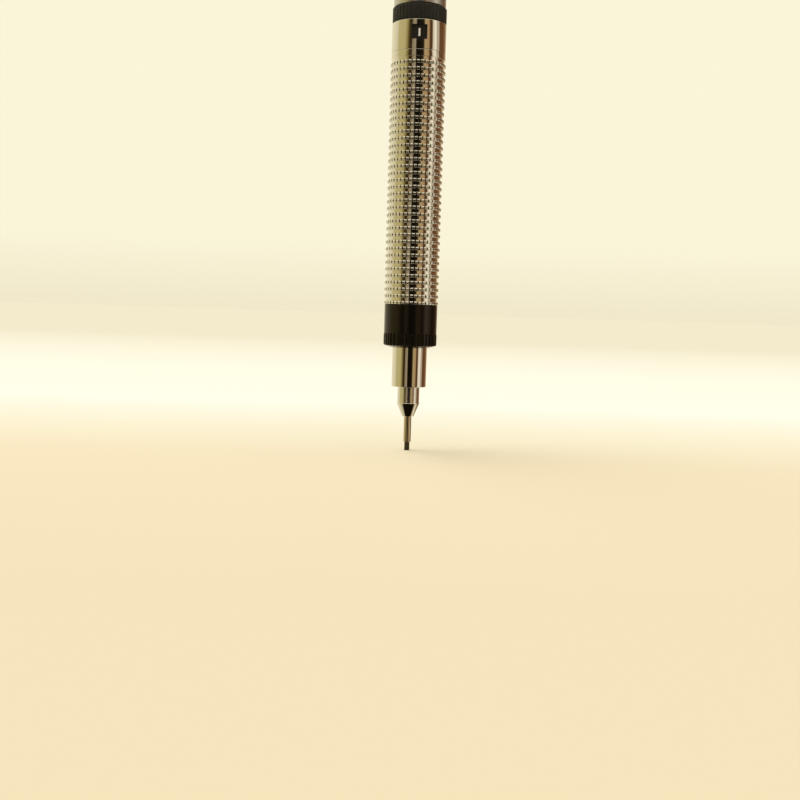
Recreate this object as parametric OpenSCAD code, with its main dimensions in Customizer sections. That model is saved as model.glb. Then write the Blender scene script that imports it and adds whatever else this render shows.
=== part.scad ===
// Drafting mechanical pencil for 0.9 mm lead.
//
// The pencil stands on its point: the axis is +Z and the origin is the centre of the
// lead's flat end. The knurled grip, the barrel and the guide pipe stay still. Turning the
// fluted ring screws the chrome nose forwards over the guide pipe. The push button drives
// the lead tube and the chuck against the return spring. The grade ring turns behind its
// window, and the cap and the eraser pull off upwards. The clip is on the +X side.

/* [Point] */
// Diameter of the lead
lead_d = 0.9; // [0.85:0.01:0.95]
// Length of lead showing below the guide pipe
lead_out = 1.45; // [0.5:0.05:2.0]
// Outer diameter of the guide pipe
pipe_d = 1.3; // [1.2:0.05:1.4]
// Length of guide pipe showing below the cone
pipe_out = 4.5; // [4.2:0.1:5.5]

/* [Nose] */
// Height of the cone at the front of the nose tip
cone_h = 2.4; // [1.6:0.1:2.6]
// Diameter of the cone's front end
cone_front_d = 2.0; // [1.8:0.05:2.2]
// Diameter of the sharp rim where the cone starts
cone_rim_d = 3.65; // [3.55:0.05:3.9]
// Diameter of the narrow step of the nose
tip_d = 3.5; // [3.4:0.05:3.6]
// Height of the narrow step of the nose
tip_h = 2.85; // [2.4:0.05:3.4]
// Diameter of the wide step of the nose
nose_d = 6.0; // [5.9:0.05:6.1]
// Height of the wide step that shows below the fluted ring
nose_h = 6.8; // [6.6:0.1:8.0]
// How far the nose screws forwards over the guide pipe
nose_travel = 4.0; // [2.0:0.5:4.0]

/* [Fluted ring] */
// Diameter of the ring's smooth part
ring_d = 9.15; // [9.05:0.05:9.3]
// Diameter over the ring's flutes
flute_d = 9.25; // [9.15:0.05:9.5]
// Height of the ring that shows
ring_h = 7.45; // [7.0:0.05:8.5]
// Height of the fluted band
flute_h = 2.0; // [1.5:0.1:2.5]
// Number of flutes
flute_count = 40; // [24:2:48]

/* [Grip] */
// Diameter over the knurled lands
grip_d = 9.4; // [9.2:0.1:9.8]
// Diameter at the bottom of the knurl's grooves
grip_floor_d = 8.8; // [8.6:0.05:8.9]
// Distance from one knurled land to the next
knurl_pitch = 1.15; // [1.0:0.05:1.4]
// Height of each knurled land
land_h = 0.6; // [0.4:0.05:0.8]
// Number of knurled lands
knurl_rows = 36; // [30:1:40]

/* [Barrel] */
// Diameter of the barrel
barrel_d = 8.8; // [8.6:0.1:9.2]
// Length of the barrel from the grade ring to the clip's band
barrel_l = 46.3; // [44:0.1:55]

/* [Clip] */
// Width of the clip's arm at the band
clip_w = 3.4; // [2.8:0.1:4.0]
// Thickness of the clip's metal
clip_t = 0.7; // [0.6:0.05:0.8]
// Distance from the barrel's surface to the arm
clip_gap = 1.9; // [1.6:0.1:2.4]

/* [Push button] */
// How far the button presses in
knock_stroke = 3.0; // [2.0:0.1:3.0]
// Diameter of the cap
cap_d = 6.5; // [6.4:0.05:6.6]
// Height of the cap that shows above the tail ring
cap_out = 15.0; // [14.8:0.1:18.0]

/* [Hidden] */
$fn = 64;
eps = 0.01;

// Clearances: a free sliding fit, and a fit that is pressed or screwed together
slide = 0.05;
fixed = 0.025;

// Heights of what shows, from the point upwards
pipe_z = lead_out;
cone_z = pipe_z + pipe_out;
rim_z = cone_z + cone_h;
tip_top_z = rim_z + tip_h;
ring_z = tip_top_z + nose_h;
ring_top_z = ring_z + ring_h;
grip_z = ring_top_z;
knurl_top_z = grip_z + knurl_rows * knurl_pitch;
grip_top_z = knurl_top_z + 1.15;

// Lead path and chuck. The chuck hangs in the holder's chamber, and drops by the stroke
lead_l = 60;
pipe_bore_d = lead_d + 0.06;
holder_d = 4.9;
holder_front_d = 2.5;
holder_z = tip_top_z + 1.65;
retainer_z = holder_z + 0.1;
retainer_h = 1.5;
retainer_d = 2.4;
chamber_z = retainer_z + retainer_h + 0.1;
chuck_z = chamber_z + 0.1 + knock_stroke;
chuck_d = 2.2;
chuck_head_d = 2.75;
chuck_head_h = 2.1;
chuck_l = 13.6;
clutch_z = chuck_z + 0.3;
clutch_h = 2.0;
clutch_d = 3.2;
clutch_travel = 0.7;
housing_z = clutch_z + clutch_h + slide;
spigot_d = 4.15;
spigot_h = 2.75;
seat_h = 0.85;
seat_bore_d = 2.7;
housing_bore_d = 3.5;
spring_z = housing_z + seat_h;
spring_h = 8.0;
spring_d = 3.35;
spring_wire_d = 0.3;
spring_turns = 8.5;
connector_z = spring_z + spring_h;
connector_h = 5.0;
connector_d = 3.4;
tube_d = 3.4;
tube_bore_d = 2.9;
tube_z = connector_z + 3.0;

// Nose sleeve, its screw thread and its two keys
sleeve_bore_d = holder_d + 2 * slide;
thread_d = 6.7;
thread_h = 3.0;
neck_h = 4.55;
sleeve_top_z = ring_top_z + neck_h - 0.6;
thread_z = sleeve_top_z - thread_h;
ring_bore_d = nose_d + 2 * slide;
ring_thread_d = thread_d + 2 * slide;
ring_thread_z = thread_z - nose_travel - slide;
neck_d = 7.6;
key_d = 1.2;
slot_w = key_d + 0.1;
key_z = ring_top_z - 0.95;
slot_z = key_z - 1.5;

// Housing collar and the grip's bores
collar_z = ring_top_z + neck_h + 1.5;
collar_h = 5.5;
body_bore_d = 7.2;
housing_top_z = collar_z + collar_h + 1.0;
snap_wire_d = 0.4;
snap_r = neck_d / 2 + 0.03;
snap_z = ring_top_z + 2.8;

// Grade scale on the coupling
coupling_d = 6.6;
coupling_bore_d = 5.0;
coupling_z = grip_top_z - 8.0;
collar_out_h = 4.9;
web_h = 0.7;
window_d = 9.2;
scale_d = 8.1;
scale_z = grip_top_z + web_h + 0.15;
knob_z = grip_top_z + collar_out_h + 0.15;
knob_h = 2.45;
barrel_z = knob_z + knob_h + 0.1;

// Barrel end, clip band and tail ring
barrel_bore_d = 6.7;
band_z = barrel_z + barrel_l;
band_h = 3.9;
rear_d = 7.9;
tail_z = band_z + band_h + 0.1;
tail_h = 5.0;
tail_d = 9.0;
tail_mouth_d = cap_d + 0.2;
rear_top_z = tail_z + 2.4;

// Push button, eraser and cap
cap_z = rear_top_z - 0.5;
cap_top_z = tail_z + tail_h + cap_out;
cap_bore_d = 5.65;
sleeve_d = 5.6;
knock_z = cap_z - 7.0;
tube_top_z = cap_z + 2.1;
knock_top_z = tube_top_z + 3.0;
bush_top_z = cap_z - knock_stroke - 0.4;
bush_h = 10.5;
eraser_d = 4.2;
eraser_z = knock_top_z + 0.7;
cup_h = 4.2;
pin_l = 22;

// A piece turned on a lathe from an outline of [radius, height] points
module turned(outline) {
    rotate_extrude()
        polygon(outline);
}

// A plain tube standing at height z
module tube(outer_d, inner_d, z, h) {
    turned([
        [inner_d / 2, z], [outer_d / 2, z],
        [outer_d / 2, z + h], [inner_d / 2, z + h]
    ]);
}

// A ring of round section, of mean radius r
module torus(r, section_d, z) {
    translate([0, 0, z])
        rotate_extrude()
            translate([r, 0])
                circle(d = section_d, $fn = 24);
}

// Copies of the children, evenly spaced round the axis
module around(count) {
    for (i = [0 : count - 1])
        rotate([0, 0, i * 360 / count])
            children();
}

// Points of an arc of radius r about centre c, from angle a0 to a1 in n steps
function arc(c, r, a0, a1, n) = [
    for (i = [0 : n])
        c + r * [cos(a0 + (a1 - a0) * i / n), sin(a0 + (a1 - a0) * i / n)]
];

// ---- Point and lead mechanism ----

module lead() {
    worn = 0.05;
    color([0.16, 0.16, 0.17])
        turned([
            [0, 0], [lead_d / 2 - worn, 0], [lead_d / 2, worn],
            [lead_d / 2, lead_l], [0, lead_l]
        ]);
}

module guide_pipe() {
    edge = 0.08;
    seat_z = cone_z - 0.05;
    seat_r = pipe_d / 2 - 0.03;
    taper_h = 0.7;
    top_z = rim_z + 2.3;
    color([0.62, 0.6, 0.55])
        turned([
            [pipe_bore_d / 2, pipe_z], [pipe_d / 2 - edge, pipe_z],
            [pipe_d / 2, pipe_z + edge], [pipe_d / 2, seat_z],
            [seat_r, seat_z + taper_h], [seat_r, top_z],
            [pipe_bore_d / 2, top_z]
        ]);
}

// Brass front of the mechanism: it grips the guide pipe and holds the chuck's chamber
module pipe_holder() {
    front_z = rim_z + 0.3;
    pipe_seat_r = pipe_d / 2;
    seat_top_z = rim_z + 2.35;
    lead_r = lead_d / 2 + 0.15;
    clutch_stop_z = clutch_z - clutch_travel;
    clutch_r = clutch_d / 2 + slide;
    jaw_r = chuck_head_d / 2 + 0.075;
    thread_r = spigot_d / 2 + fixed;
    top_z = housing_z + spigot_h;
    color([0.78, 0.63, 0.36])
        turned([
            [pipe_seat_r, front_z], [holder_front_d / 2, front_z],
            [holder_front_d / 2, holder_z], [holder_d / 2, holder_z],
            [holder_d / 2, top_z], [thread_r, top_z],
            [thread_r, housing_z], [clutch_r, housing_z],
            [clutch_r, clutch_stop_z], [jaw_r, clutch_stop_z],
            [jaw_r, chamber_z], [retainer_d / 2 + fixed, chamber_z],
            [retainer_d / 2 + fixed, retainer_z], [lead_r, retainer_z],
            [lead_r, seat_top_z], [pipe_seat_r, seat_top_z]
        ]);
}

// Rubber sleeve that keeps the lead from dropping while the chuck is open
module lead_retainer() {
    mouth = 0.3;
    bore_r = lead_d / 2 + 0.02;
    top_z = retainer_z + retainer_h;
    color([0.2, 0.2, 0.2])
        turned([
            [bore_r, retainer_z], [retainer_d / 2, retainer_z], [retainer_d / 2, top_z],
            [bore_r + mouth, top_z], [bore_r, top_z - mouth]
        ]);
}

// Brass ring that squeezes the chuck's jaws while they are drawn up into it
module clutch_ring() {
    top_z = clutch_z + clutch_h;
    taper = (chuck_head_d - chuck_d) / 2;
    color([0.8, 0.66, 0.4])
        turned([
            [chuck_d / 2 + taper + slide, clutch_z], [clutch_d / 2, clutch_z],
            [clutch_d / 2, top_z], [chuck_d / 2 + slide, top_z],
            [chuck_d / 2 + slide, clutch_z + chuck_head_h - 0.3]
        ]);
}

// Brass chuck: three jaws on a long stem, parted by three saw cuts
module chuck() {
    bore_r = lead_d / 2 + 0.02;
    rim_h = 0.4;
    cut_w = 0.25;
    cut_h = 9.5;
    color([0.82, 0.68, 0.42])
        difference() {
            turned([
                [bore_r, chuck_z], [chuck_head_d / 2 - 0.15, chuck_z],
                [chuck_head_d / 2, chuck_z + 0.15], [chuck_head_d / 2, chuck_z + rim_h - 0.1],
                [chuck_d / 2, chuck_z + chuck_head_h], [chuck_d / 2, chuck_z + chuck_l],
                [bore_r, chuck_z + chuck_l]
            ]);
            around(3)
                translate([0, -cut_w / 2, chuck_z - eps])
                    cube([chuck_head_d, cut_w, cut_h]);
        }
}

// Points of the ring of n corners round the wire, at turn t of the coil
function wire_ring(t, r, wire_r, z, n) = [
    for (i = [0 : n - 1])
        let (a = 360 * t, b = 360 * i / n, reach = r + wire_r * cos(b))
            [reach * cos(a), reach * sin(a), z + wire_r * sin(b)]
];

// Steel compression spring with closed ends, swept along its own coil
module return_spring() {
    sides = 6;
    steps = 14;
    closed = 1;
    count = floor(spring_turns * steps);
    wire_r = spring_wire_d / 2;
    low_z = spring_z + wire_r + fixed;
    span = spring_h - spring_wire_d - 2 * fixed;
    closed_h = spring_wire_d * 1.04;
    open_turns = spring_turns - 2 * closed;
    function lift(t) =
        t < closed ? closed_h * t / closed :
        t > spring_turns - closed ? span - closed_h * (spring_turns - t) / closed :
        closed_h + (span - 2 * closed_h) * (t - closed) / open_turns;
    rings = [
        for (k = [0 : count])
            let (t = k / steps)
                wire_ring(t, (spring_d - spring_wire_d) / 2, wire_r, low_z + lift(t), sides)
    ];
    points = [for (ring = rings) for (p = ring) p];
    walls = [
        for (k = [0 : count - 1], i = [0 : sides - 1])
            let (a = k * sides + i, b = k * sides + (i + 1) % sides)
                [a, a + sides, b + sides, b]
    ];
    start = [for (i = [0 : sides - 1]) i];
    end = [for (i = [sides - 1 : -1 : 0]) count * sides + i];
    color([0.7, 0.71, 0.72])
        polyhedron(points, concat([start, end], walls));
}

// Brass joint between the chuck's stem and the lead tube, with a funnel for the lead
module chuck_connector() {
    stem_top_z = chuck_z + chuck_l + 0.1;
    lead_r = lead_d / 2 + 0.1;
    funnel_h = 1.5;
    top_z = connector_z + connector_h;
    spigot_r = tube_bore_d / 2 - fixed;
    color([0.78, 0.63, 0.36])
        turned([
            [chuck_d / 2 + fixed, connector_z], [connector_d / 2, connector_z],
            [connector_d / 2, tube_z - fixed], [spigot_r, tube_z - fixed],
            [spigot_r, top_z], [spigot_r - 0.15, top_z],
            [lead_r, top_z - funnel_h], [lead_r, stem_top_z],
            [chuck_d / 2 + fixed, stem_top_z]
        ]);
}

// Brass housing: it screws into the pipe holder, carries the keys and seats in the grip
module mechanism_housing() {
    bore_r = housing_bore_d / 2;
    shoulder_z = housing_z + spigot_h + fixed;
    collar_r = body_bore_d / 2 - fixed;
    color([0.76, 0.61, 0.34])
        difference() {
            turned([
                [seat_bore_d / 2, housing_z], [spigot_d / 2, housing_z],
                [spigot_d / 2, shoulder_z], [holder_d / 2, shoulder_z],
                [holder_d / 2, collar_z], [collar_r, collar_z],
                [collar_r, collar_z + collar_h], [holder_d / 2, collar_z + collar_h],
                [holder_d / 2, housing_top_z], [bore_r, housing_top_z],
                [bore_r, spring_z], [seat_bore_d / 2, spring_z]
            ]);
            around(2)
                translate([0, 0, key_z])
                    rotate([0, 90, 0])
                        cylinder(d = key_d + 0.02, h = holder_d);
        }
}

// Two steel stubs that stop the nose sleeve from turning
module key_pins() {
    inner_r = housing_bore_d / 2 + 0.03;
    outer_r = nose_d / 2 - 0.05;
    color([0.72, 0.73, 0.74])
        around(2)
            translate([inner_r, 0, key_z])
                rotate([0, 90, 0])
                    cylinder(d = key_d, h = outer_r - inner_r);
}

module lead_tube() {
    color([0.86, 0.87, 0.86])
        tube(tube_d, tube_bore_d, tube_z, tube_top_z - tube_z);
}

// Two spare leads that lie in the tube beside the one in use
module spare_leads() {
    off_axis = (tube_bore_d - lead_d) / 2 - 0.05;
    bottom_z = connector_z + connector_h + 0.4;
    color([0.18, 0.18, 0.19])
        around(2)
            translate([off_axis, 0, bottom_z])
                cylinder(d = lead_d, h = lead_l);
}

// ---- Nose and fluted ring ----

// Chrome tip: a narrow step, a sharp rim and a cone, plugged into the nose sleeve
module nose_tip() {
    bore_r = holder_front_d / 2 + slide;
    mouth_r = pipe_d / 2 + slide;
    front_edge = 0.12;
    shoulder = 0.15;
    plug_r = 2.0;
    plug_top_z = tip_top_z + 1.5;
    color([0.8, 0.78, 0.72])
        turned([
            [mouth_r, cone_z], [cone_front_d / 2 - front_edge, cone_z],
            [cone_front_d / 2, cone_z + front_edge], [cone_rim_d / 2, rim_z - 0.08],
            [cone_rim_d / 2, rim_z], [tip_d / 2, rim_z + 0.1],
            [tip_d / 2, tip_top_z - shoulder], [tip_d / 2 - shoulder, tip_top_z - fixed],
            [plug_r - fixed, tip_top_z - fixed],
            [plug_r - fixed, plug_top_z], [bore_r, plug_top_z],
            [bore_r, rim_z + 0.2], [mouth_r, rim_z - 0.6]
        ]);
}

// Chrome sleeve with a screw thread at its top and two slots that run on the keys
module nose_sleeve() {
    edge = 0.12;
    plug_r = 2.0;
    wall_z = tip_top_z + 1.5;
    bore_r = sleeve_bore_d / 2;
    color([0.8, 0.78, 0.72])
        difference() {
            turned([
                [plug_r, tip_top_z], [nose_d / 2 - edge, tip_top_z],
                [nose_d / 2, tip_top_z + edge], [nose_d / 2, thread_z],
                [thread_d / 2, thread_z], [thread_d / 2, sleeve_top_z],
                [bore_r, sleeve_top_z], [bore_r, wall_z], [plug_r, wall_z]
            ]);
            translate([-thread_d, -slot_w / 2, slot_z])
                cube([2 * thread_d, slot_w, sleeve_top_z]);
        }
}

module nose_o_ring() {
    color([0.1, 0.1, 0.1])
        torus(nose_d / 2 + 0.19, 0.32, ring_z + 0.75);
}

// Black ring: the fluted band is turned by hand, and its thread drives the nose sleeve
module adjuster_ring() {
    bore_r = ring_bore_d / 2;
    dome_h = 0.4;
    corner = 0.3;
    band_top_z = ring_z + 0.3 + flute_h;
    groove_z = ring_z + 0.75;
    groove_r = nose_d / 2 + 0.36;
    snap_floor_r = neck_d / 2 - 0.2;
    snap_half = snap_wire_d / 2 + 0.03;
    neck_top_z = ring_top_z + neck_h;
    flute_r = 0.24;
    color([0.06, 0.06, 0.06])
        difference() {
            turned(concat(
                [[bore_r, ring_z + 0.1], [bore_r + 0.1, ring_z]],
                arc([flute_d / 2 - corner, ring_z + dome_h + corner], corner, -80, 0, 6),
                [
                    [flute_d / 2, band_top_z - 0.1], [ring_d / 2, band_top_z + 0.05],
                    [ring_d / 2, ring_top_z - 0.08], [ring_d / 2 - 0.08, ring_top_z],
                    [neck_d / 2, ring_top_z], [neck_d / 2, snap_z - snap_half],
                    [snap_floor_r, snap_z - snap_half], [snap_floor_r, snap_z + snap_half],
                    [neck_d / 2, snap_z + snap_half], [neck_d / 2, neck_top_z],
                    [ring_thread_d / 2, neck_top_z], [ring_thread_d / 2, ring_thread_z],
                    [bore_r, ring_thread_z], [bore_r, groove_z + 0.2],
                    [groove_r, groove_z + 0.2], [groove_r, groove_z - 0.2],
                    [bore_r, groove_z - 0.2]
                ]
            ));
            around(flute_count)
                translate([flute_d / 2 + 0.08, 0, ring_z - eps])
                    cylinder(r = flute_r, h = flute_h + 0.15, $fn = 16);
        }
}

// Open steel ring that holds the fluted ring in the grip
module snap_ring() {
    gap = 24;
    color([0.7, 0.7, 0.7])
        rotate([0, 0, 90 + gap / 2])
            translate([0, 0, snap_z])
                rotate_extrude(angle = 360 - gap)
                    translate([snap_r, 0])
                        circle(d = snap_wire_d, $fn = 24);
}

// ---- Grip and grade scale ----

// Chrome-plated brass grip: rows of square lands, and a plain band at its top
module grip() {
    land_r = grip_d / 2;
    floor_r = grip_floor_d / 2;
    edge = 0.06;
    neck_r = neck_d / 2 + slide;
    neck_top_z = collar_z - 0.5;
    snap_floor_r = snap_r + snap_wire_d / 2 + 0.04;
    snap_half = snap_wire_d / 2 + 0.03;
    lands = [
        for (i = [0 : knurl_rows - 1], p = [
            [land_r - edge, 0], [land_r, edge],
            [land_r, land_h - edge], [land_r - edge, land_h],
            [floor_r, land_h], [floor_r, knurl_pitch]
        ])
            [p[0], grip_z + i * knurl_pitch + p[1]]
    ];
    color([0.8, 0.78, 0.72])
        turned(concat(
            [[neck_r, grip_z]],
            lands,
            [
                [window_d / 2, knurl_top_z], [window_d / 2, grip_top_z],
                [body_bore_d / 2, grip_top_z], [body_bore_d / 2, neck_top_z],
                [neck_r, neck_top_z], [neck_r, snap_z + snap_half],
                [snap_floor_r, snap_z + snap_half], [snap_floor_r, snap_z - snap_half],
                [neck_r, snap_z - snap_half]
            ]
        ));
}

// Brass coupling that screws the grip to the barrel and carries the grade ring
module coupling() {
    bore_r = coupling_bore_d / 2;
    foot_r = body_bore_d / 2 - fixed;
    groove_z = scale_z + 2.0;
    groove_r = coupling_d / 2 - 0.36;
    top_z = barrel_z + 9.0;
    color([0.76, 0.61, 0.34])
        turned([
            [bore_r, coupling_z], [foot_r, coupling_z],
            [foot_r, grip_top_z], [coupling_d / 2, grip_top_z],
            [coupling_d / 2, groove_z - 0.25], [groove_r, groove_z - 0.25],
            [groove_r, groove_z + 0.25], [coupling_d / 2, groove_z + 0.25],
            [coupling_d / 2, top_z], [bore_r, top_z]
        ]);
}

module grade_o_ring() {
    color([0.1, 0.1, 0.1])
        torus(coupling_d / 2 - 0.16, 0.36, scale_z + 2.0);
}

// Metal collar with the window through which the lead grade shows
module window_collar() {
    edge = 0.08;
    top_z = grip_top_z + collar_out_h;
    window_w = 2.6;
    window_h = 2.4;
    color([0.8, 0.79, 0.76])
        difference() {
            turned([
                [coupling_d / 2 + fixed, grip_top_z + fixed],
                [window_d / 2, grip_top_z + fixed],
                [window_d / 2, top_z - edge], [window_d / 2 - edge, top_z],
                [scale_d / 2 + slide, top_z], [scale_d / 2 + slide, grip_top_z + web_h],
                [coupling_d / 2 + fixed, grip_top_z + web_h]
            ]);
            translate([-window_w / 2, -window_d, grip_top_z + web_h + 0.9])
                cube([window_w, window_d, window_h]);
        }
}

// Black ring: its narrow part holds the scale, and its fluted part is turned by hand
module grade_ring() {
    bore_r = coupling_d / 2 + slide;
    edge = 0.15;
    top_z = knob_z + knob_h;
    color([0.07, 0.07, 0.07])
        difference() {
            turned([
                [bore_r, scale_z], [scale_d / 2, scale_z], [scale_d / 2, knob_z],
                [window_d / 2 - edge, knob_z], [window_d / 2, knob_z + edge],
                [window_d / 2, top_z - edge], [window_d / 2 - edge, top_z],
                [bore_r, top_z]
            ]);
            around(flute_count)
                translate([window_d / 2 + 0.1, 0, knob_z - eps])
                    cylinder(r = 0.24, h = knob_h + 2 * eps, $fn = 16);
        }
}

// ---- Barrel, clip and tail ----

module barrel() {
    edge = 0.2;
    bore_r = barrel_bore_d / 2;
    color([0.78, 0.79, 0.8])
        turned([
            [bore_r, barrel_z], [barrel_d / 2 - edge, barrel_z],
            [barrel_d / 2, barrel_z + edge], [barrel_d / 2, band_z - fixed],
            [rear_d / 2, band_z - fixed], [rear_d / 2, rear_top_z], [bore_r, rear_top_z]
        ]);
}

// Plastic bush that guides the push button in the barrel
module tail_bush() {
    color([0.85, 0.85, 0.82])
        tube(barrel_bore_d - 2 * fixed, sleeve_d + 2 * slide, bush_top_z - bush_h, bush_h);
}

// Middle line of the clip's arm as [radius, height] points, from the band to the free end
function clip_line() =
    let (
        arm_r = barrel_d / 2 + clip_gap + clip_t / 2,
        top_z = band_z + band_h - clip_t / 2,
        bend = 1.6,
        foot_z = band_z - 31,
        touch_r = barrel_d / 2 + 0.12 + clip_t / 2,
        rise = arm_r - touch_r
    )
    concat(
        [[rear_d / 2 + 0.3, top_z]],
        arc([arm_r - bend, top_z - bend], bend, 90, 0, 8),
        [
            for (i = [0 : 9])
                let (s = i / 10)
                    [arm_r - rise * (1 - cos(180 * s)) / 2, foot_z - 4.2 * s]
        ],
        arc([touch_r + 2.2, foot_z - 4.2], 2.2, 180, 236, 6)
    );

// Outline of a strip of thickness t that follows a line
function strip(line, t) =
    let (
        last = len(line) - 1,
        side = [
            for (i = [0 : last])
                let (d = line[min(i + 1, last)] - line[max(i - 1, 0)])
                    [-d[1], d[0]] * t / 2 / norm(d)
        ]
    )
    concat(
        [for (i = [0 : last]) line[i] + side[i]],
        [for (i = [last : -1 : 0]) line[i] - side[i]]
    );

// Face of the clip's arm as [width, height] points: it narrows to a round free end
function clip_face() =
    let (
        end_w = clip_w - 0.8,
        end_z = band_z - 37.5,
        top_z = band_z + band_h + 1
    )
    concat(
        [[clip_w / 2, top_z]],
        arc([0, end_z + end_w / 2], end_w / 2, 0, -180, 12),
        [[-clip_w / 2, top_z]]
    );

// Spring-steel clip: a band round the barrel's rear end, and an arm that springs out of it
module clip() {
    reach = 12;
    color([0.8, 0.78, 0.72])
        union() {
            tube(barrel_d, rear_d + 2 * fixed, band_z, band_h);
            intersection() {
                rotate([90, 0, 0])
                    linear_extrude(height = 2 * clip_w, center = true)
                        polygon(strip(clip_line(), clip_t));
                rotate([90, 0, 90])
                    linear_extrude(height = reach)
                        polygon(clip_face());
            }
        }
}

// Black ring that screws on behind the clip, and through which the button passes
module tail_ring() {
    edge = 0.5;
    top_z = tail_z + tail_h;
    color([0.06, 0.06, 0.06])
        turned(concat(
            [
                [rear_d / 2 + fixed, tail_z], [tail_d / 2 - 0.1, tail_z],
                [tail_d / 2, tail_z + 0.1]
            ],
            arc([tail_d / 2 - edge, top_z - edge], edge, 0, 90, 6),
            [
                [tail_mouth_d / 2, top_z], [tail_mouth_d / 2, rear_top_z + 0.1],
                [rear_d / 2 + fixed, rear_top_z + 0.1]
            ]
        ));
}

// ---- Push button, eraser and cap ----

// Brass sleeve on the top of the lead tube: the cap and the eraser plug into it
module knock_sleeve() {
    socket_r = 2.3;
    tube_r = tube_d / 2 + fixed;
    color([0.78, 0.76, 0.7])
        turned([
            [tube_r, knock_z], [sleeve_d / 2, knock_z], [sleeve_d / 2, knock_top_z - 0.1],
            [sleeve_d / 2 - 0.1, knock_top_z], [socket_r, knock_top_z],
            [socket_r, tube_top_z + fixed], [tube_r, tube_top_z + fixed]
        ]);
}

// White plastic holder: a plug for the lead tube below, and a cup for the eraser above
module eraser_holder() {
    plug_r = tube_bore_d / 2 - slide;
    flange_r = 2.3 - slide;
    cup_r = 2.55;
    pin_r = 0.35 + fixed;
    floor_z = eraser_z - fixed;
    color([0.9, 0.9, 0.88])
        turned([
            [pin_r, tube_top_z - 4], [plug_r, tube_top_z - 4],
            [plug_r, tube_top_z + 0.05], [flange_r, tube_top_z + 0.05],
            [flange_r, knock_top_z + 0.05], [cup_r, knock_top_z + 0.05],
            [cup_r, eraser_z + cup_h], [eraser_d / 2 + fixed, eraser_z + cup_h],
            [eraser_d / 2 + fixed, floor_z], [pin_r, floor_z]
        ]);
}

module eraser() {
    dome = 0.5;
    top_z = cap_top_z - 2.3;
    color([0.95, 0.94, 0.9])
        turned(concat(
            [[0, eraser_z], [eraser_d / 2, eraser_z]],
            arc([eraser_d / 2 - dome, top_z - dome], dome, 0, 90, 6),
            [[0, top_z]]
        ));
}

// Steel wire that clears a broken lead from the guide pipe
module cleaning_pin() {
    color([0.7, 0.71, 0.72])
        translate([0, 0, eraser_z - 0.1 - pin_l])
            cylinder(d = 0.7, h = pin_l);
}

// Chrome cap over the eraser, pressed to feed the lead
module cap() {
    edge = 0.6;
    roof_h = 1.6;
    bore_r = cap_bore_d / 2;
    color([0.8, 0.78, 0.72])
        turned(concat(
            [
                [bore_r, cap_z], [cap_d / 2 - 0.1, cap_z], [cap_d / 2, cap_z + 0.1]
            ],
            arc([cap_d / 2 - edge, cap_top_z - edge], edge, 0, 90, 6),
            [[0, cap_top_z], [0, cap_top_z - roof_h], [bore_r, cap_top_z - roof_h]]
        ));
}

lead();
guide_pipe();
pipe_holder();
lead_retainer();
clutch_ring();
chuck();
return_spring();
chuck_connector();
mechanism_housing();
key_pins();
lead_tube();
spare_leads();
nose_tip();
nose_sleeve();
nose_o_ring();
adjuster_ring();
snap_ring();
grip();
coupling();
window_collar();
grade_ring();
grade_o_ring();
barrel();
tail_bush();
clip();
tail_ring();
knock_sleeve();
eraser_holder();
eraser();
cleaning_pin();
cap();
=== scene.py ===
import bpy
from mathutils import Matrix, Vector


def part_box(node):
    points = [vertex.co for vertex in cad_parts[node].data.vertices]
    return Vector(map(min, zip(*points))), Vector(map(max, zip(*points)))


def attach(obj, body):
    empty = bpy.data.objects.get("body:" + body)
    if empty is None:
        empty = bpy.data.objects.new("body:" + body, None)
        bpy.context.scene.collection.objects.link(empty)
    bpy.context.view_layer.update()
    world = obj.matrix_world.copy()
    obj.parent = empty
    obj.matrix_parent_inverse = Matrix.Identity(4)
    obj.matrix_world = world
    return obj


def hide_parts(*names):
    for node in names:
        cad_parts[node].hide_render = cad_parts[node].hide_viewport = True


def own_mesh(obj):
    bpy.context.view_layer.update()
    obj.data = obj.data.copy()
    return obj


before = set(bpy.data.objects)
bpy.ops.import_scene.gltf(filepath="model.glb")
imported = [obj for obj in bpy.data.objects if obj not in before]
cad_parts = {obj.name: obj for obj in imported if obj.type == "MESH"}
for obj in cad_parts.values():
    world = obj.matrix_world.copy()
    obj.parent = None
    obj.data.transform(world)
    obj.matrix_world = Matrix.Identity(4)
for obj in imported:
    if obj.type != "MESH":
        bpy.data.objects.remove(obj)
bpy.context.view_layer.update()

import math

import bmesh
import bpy
from mathutils import Matrix, Vector

scene = bpy.context.scene
MM = 0.001

# ---- Camera ----
# A normal lens 19 cm in front of the pencil and 25 mm above the bench, looking a little
# down. It leans, so the pencil stands slightly off the upright, with its point near the
# middle of the frame.
camera_down = 4.83
camera_leans = 1.7
camera_data = bpy.data.cameras.new("camera")
camera_data.lens = 49.5
camera_data.sensor_width = 36.0
camera_data.clip_start = 0.005
camera_place = Matrix.Translation((-0.00143, -0.1921, 0.025))
camera_tilt = Matrix.Rotation(math.radians(90.0 - camera_down), 4, "X")
camera_lean = Matrix.Rotation(math.radians(camera_leans), 4, "Z")
camera = bpy.data.objects.new("camera", camera_data)
camera.matrix_world = camera_place @ camera_tilt @ camera_lean
scene.collection.objects.link(camera)
scene.camera = camera
scene.view_settings.view_transform = "Standard"

# ---- Room ----
# Polished chrome only shows what stands round it, so the room is a ring of upright
# strips: cream wall, tan and brown boards, and the dark gap that the camera looks from.
world = bpy.data.worlds.new("room")
world.use_nodes = True
scene.world = world
room = world.node_tree
room.nodes.clear()


def link_value(tree, socket, value):
    """Plug a node's output into a socket, or set a plain number or colour on it."""
    if isinstance(value, bpy.types.NodeSocket):
        tree.links.new(value, socket)
    else:
        socket.default_value = value


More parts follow.
